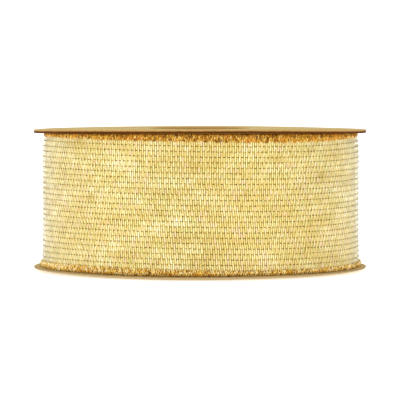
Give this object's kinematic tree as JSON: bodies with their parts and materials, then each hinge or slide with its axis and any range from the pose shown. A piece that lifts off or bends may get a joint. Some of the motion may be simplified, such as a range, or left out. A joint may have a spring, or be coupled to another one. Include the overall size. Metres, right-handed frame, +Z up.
{
  "type": "ribbon spool",
  "caption": "Card spool of wired-edge metallic mesh ribbon: two round flanges glued to a core tube, a through bore for a rod, a wound pack and a free ribbon end that lifts.",
  "frame": {"origin": "centre of the bottom flange's underside, on the spool's axis", "axes": "+Z up along the spool's axis from the bottom flange to the top flange; -Y is the front, where the winding shows no end; +Y is the back, where the ribbon's free end lies"},
  "size_m": [0.099, 0.099, 0.0424],
  "materials": {
    "kraft_card": "matt natural kraft board with a darker cut edge",
    "core_card": "matt spiral-wound grey-brown paper",
    "glue": "dried white glue",
    "clear_tape": "clear glossy film",
    "gold_mesh": "open woven flat metallic yarn, pale champagne gold with small bright glints",
    "gold_thread": "overlocked metallic thread, sparkling copper gold",
    "edge_wire": "bright drawn wire"
  },
  "bodies": {
    "spool": {"bottom_flange": "kraft_card", "top_flange": "kraft_card", "core_tube": "core_card", "bottom_glue_ring": "glue", "top_glue_ring": "glue", "core_tape": "clear_tape", "wound_mesh": "gold_mesh", "wound_upper_selvedge": "gold_thread", "wound_lower_selvedge": "gold_thread", "wound_upper_wire": "edge_wire", "wound_lower_wire": "edge_wire", "outer_turn_mesh": "gold_mesh", "outer_turn_upper_selvedge": "gold_thread", "outer_turn_lower_selvedge": "gold_thread", "outer_turn_upper_wire": "edge_wire", "outer_turn_lower_wire": "edge_wire"},
    "free_end": {"tail_mesh": "gold_mesh", "tail_upper_selvedge": "gold_thread", "tail_lower_selvedge": "gold_thread", "tail_upper_wire": "edge_wire", "tail_lower_wire": "edge_wire", "tail_tape": "clear_tape"}
  },
  "joints": [
    {"name": "free_end_lift", "type": "hinge", "parent": "spool", "child": "free_end", "pos_m": [0.01318, 0.04595, 0.0212], "axis": [0, 0, -1], "range_deg": [0, 95]}
  ]
}
